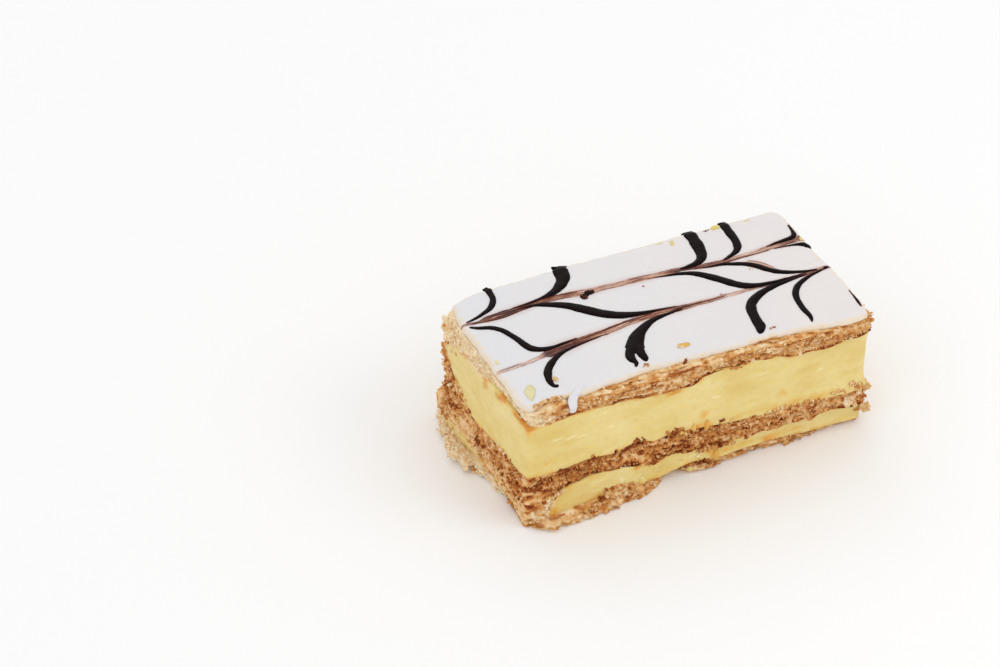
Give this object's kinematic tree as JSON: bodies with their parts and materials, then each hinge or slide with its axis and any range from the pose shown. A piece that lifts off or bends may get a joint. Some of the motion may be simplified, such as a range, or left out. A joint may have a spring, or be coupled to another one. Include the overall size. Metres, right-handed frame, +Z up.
{
  "type": "mille feuille slice",
  "caption": "Oblong slice of layered puff pastry and set custard, topped with white icing and feathered chocolate lines.",
  "frame": {"origin": "bottom centre of the whole slice's bounding box, on the surface it rests on", "axes": "+X along the long side of the slice, +Y from its front face to its back face, +Z up"},
  "size_m": [0.1178, 0.0646, 0.0396],
  "materials": {
    "pastry_pale": "matte, flaky baked puff pastry, pale golden",
    "pastry_brown": "matte, crumbly baked puff pastry, browner",
    "custard": "moist, satin, slightly translucent set custard",
    "icing": "satin to glossy poured sugar icing",
    "chocolate": "glossy dark chocolate, piped thin"
  },
  "bodies": {
    "root": {"pastry_bottom": "pastry_pale", "custard_lower": "custard", "pastry_middle": "pastry_brown", "custard_upper": "custard", "pastry_top": "pastry_pale", "icing": "icing"}
  },
  "joints": []
}
